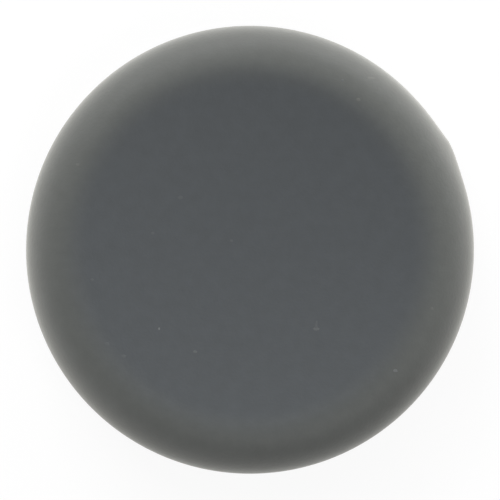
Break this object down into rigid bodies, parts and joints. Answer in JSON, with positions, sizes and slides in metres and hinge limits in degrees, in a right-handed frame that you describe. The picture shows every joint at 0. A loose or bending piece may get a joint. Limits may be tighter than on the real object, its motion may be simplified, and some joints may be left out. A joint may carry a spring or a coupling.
{
  "type": "thumbstick cap",
  "caption": "Low round thumbstick cap: a shallow dish for the thumb, a soft crest that rounds over into the side, and a hollow underside with a keyed boss.",
  "frame": {"origin": "centre of the flat rim that the cap rests on, on the cap's axis", "axes": "+Z along the cap's axis, out of the dish; +X towards one of the socket's two flats"},
  "size_m": [0.018, 0.018, 0.0045],
  "materials": {
    "soft_grey": "soft-touch matt, with a very fine grain and a faint sheen at grazing angles"
  },
  "bodies": {
    "root": {"thumbstick_cap": "soft_grey"}
  },
  "joints": []
}
